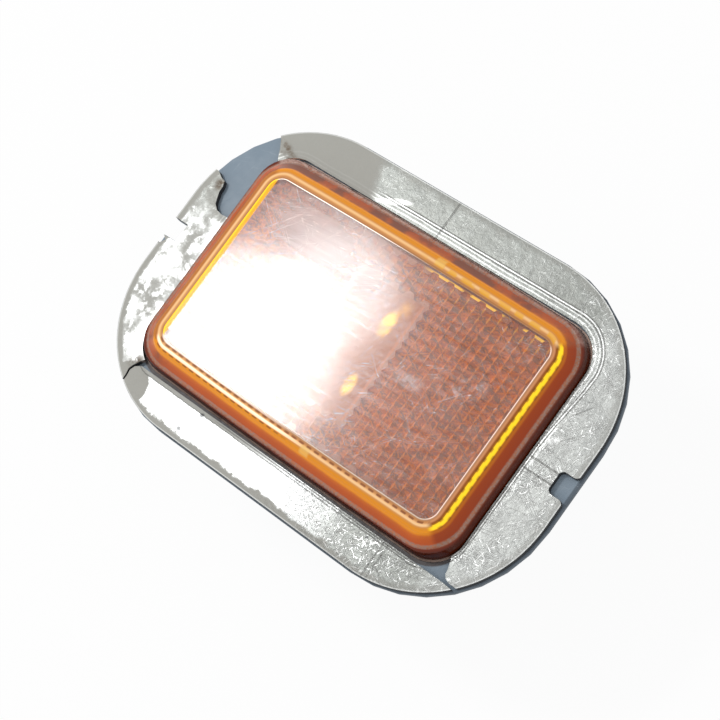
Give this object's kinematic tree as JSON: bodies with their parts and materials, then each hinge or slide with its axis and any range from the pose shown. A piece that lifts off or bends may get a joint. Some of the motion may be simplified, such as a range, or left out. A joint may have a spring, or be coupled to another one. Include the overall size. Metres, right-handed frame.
{
  "type": "side marker lamp",
  "caption": "Rectangular amber vehicle lamp with a stepped lens, prism optics, a wide oval flange, a torn foam sealing strip and a twist-in bulb holder.",
  "frame": {"origin": "middle of the sealing face, on the back of the body panel that the lamp is fitted behind", "axes": "+X along the lamp's longest side, +Y across it, +Z out of the lens, away from the vehicle"},
  "size_m": [0.122, 0.0824, 0.0494],
  "materials": {
    "amber_lens": "clear amber acrylic, polished and scuffed",
    "sealant": "black sealant, matte",
    "housing_plastic": "blue-grey moulded plastic, worn",
    "foam": "closed-cell foam, matte black",
    "skin": "silver-grey film, wrinkled and dirty",
    "bulb_clear": "clear",
    "filament_wire": "drawn tungsten",
    "lead_wire": "drawn wire",
    "holder_plastic": "black glass-filled plastic",
    "seal_rubber": "soft rubber, matte",
    "contact_metal": "stamped, slightly dull"
  },
  "bodies": {
    "root": {"lens": "amber_lens", "lens_bond": "sealant", "housing": "housing_plastic", "strip_main": "foam", "strip_left": "foam", "strip_lower": "foam", "skin_main": "skin", "skin_left": "skin", "skin_lower": "skin", "bulb_glass": "bulb_clear", "bulb_filament": "filament_wire", "bulb_lead_a": "lead_wire", "bulb_lead_b": "lead_wire", "bulb_holder": "holder_plastic", "holder_seal": "seal_rubber", "contact_a": "contact_metal", "contact_b": "contact_metal"}
  },
  "joints": []
}
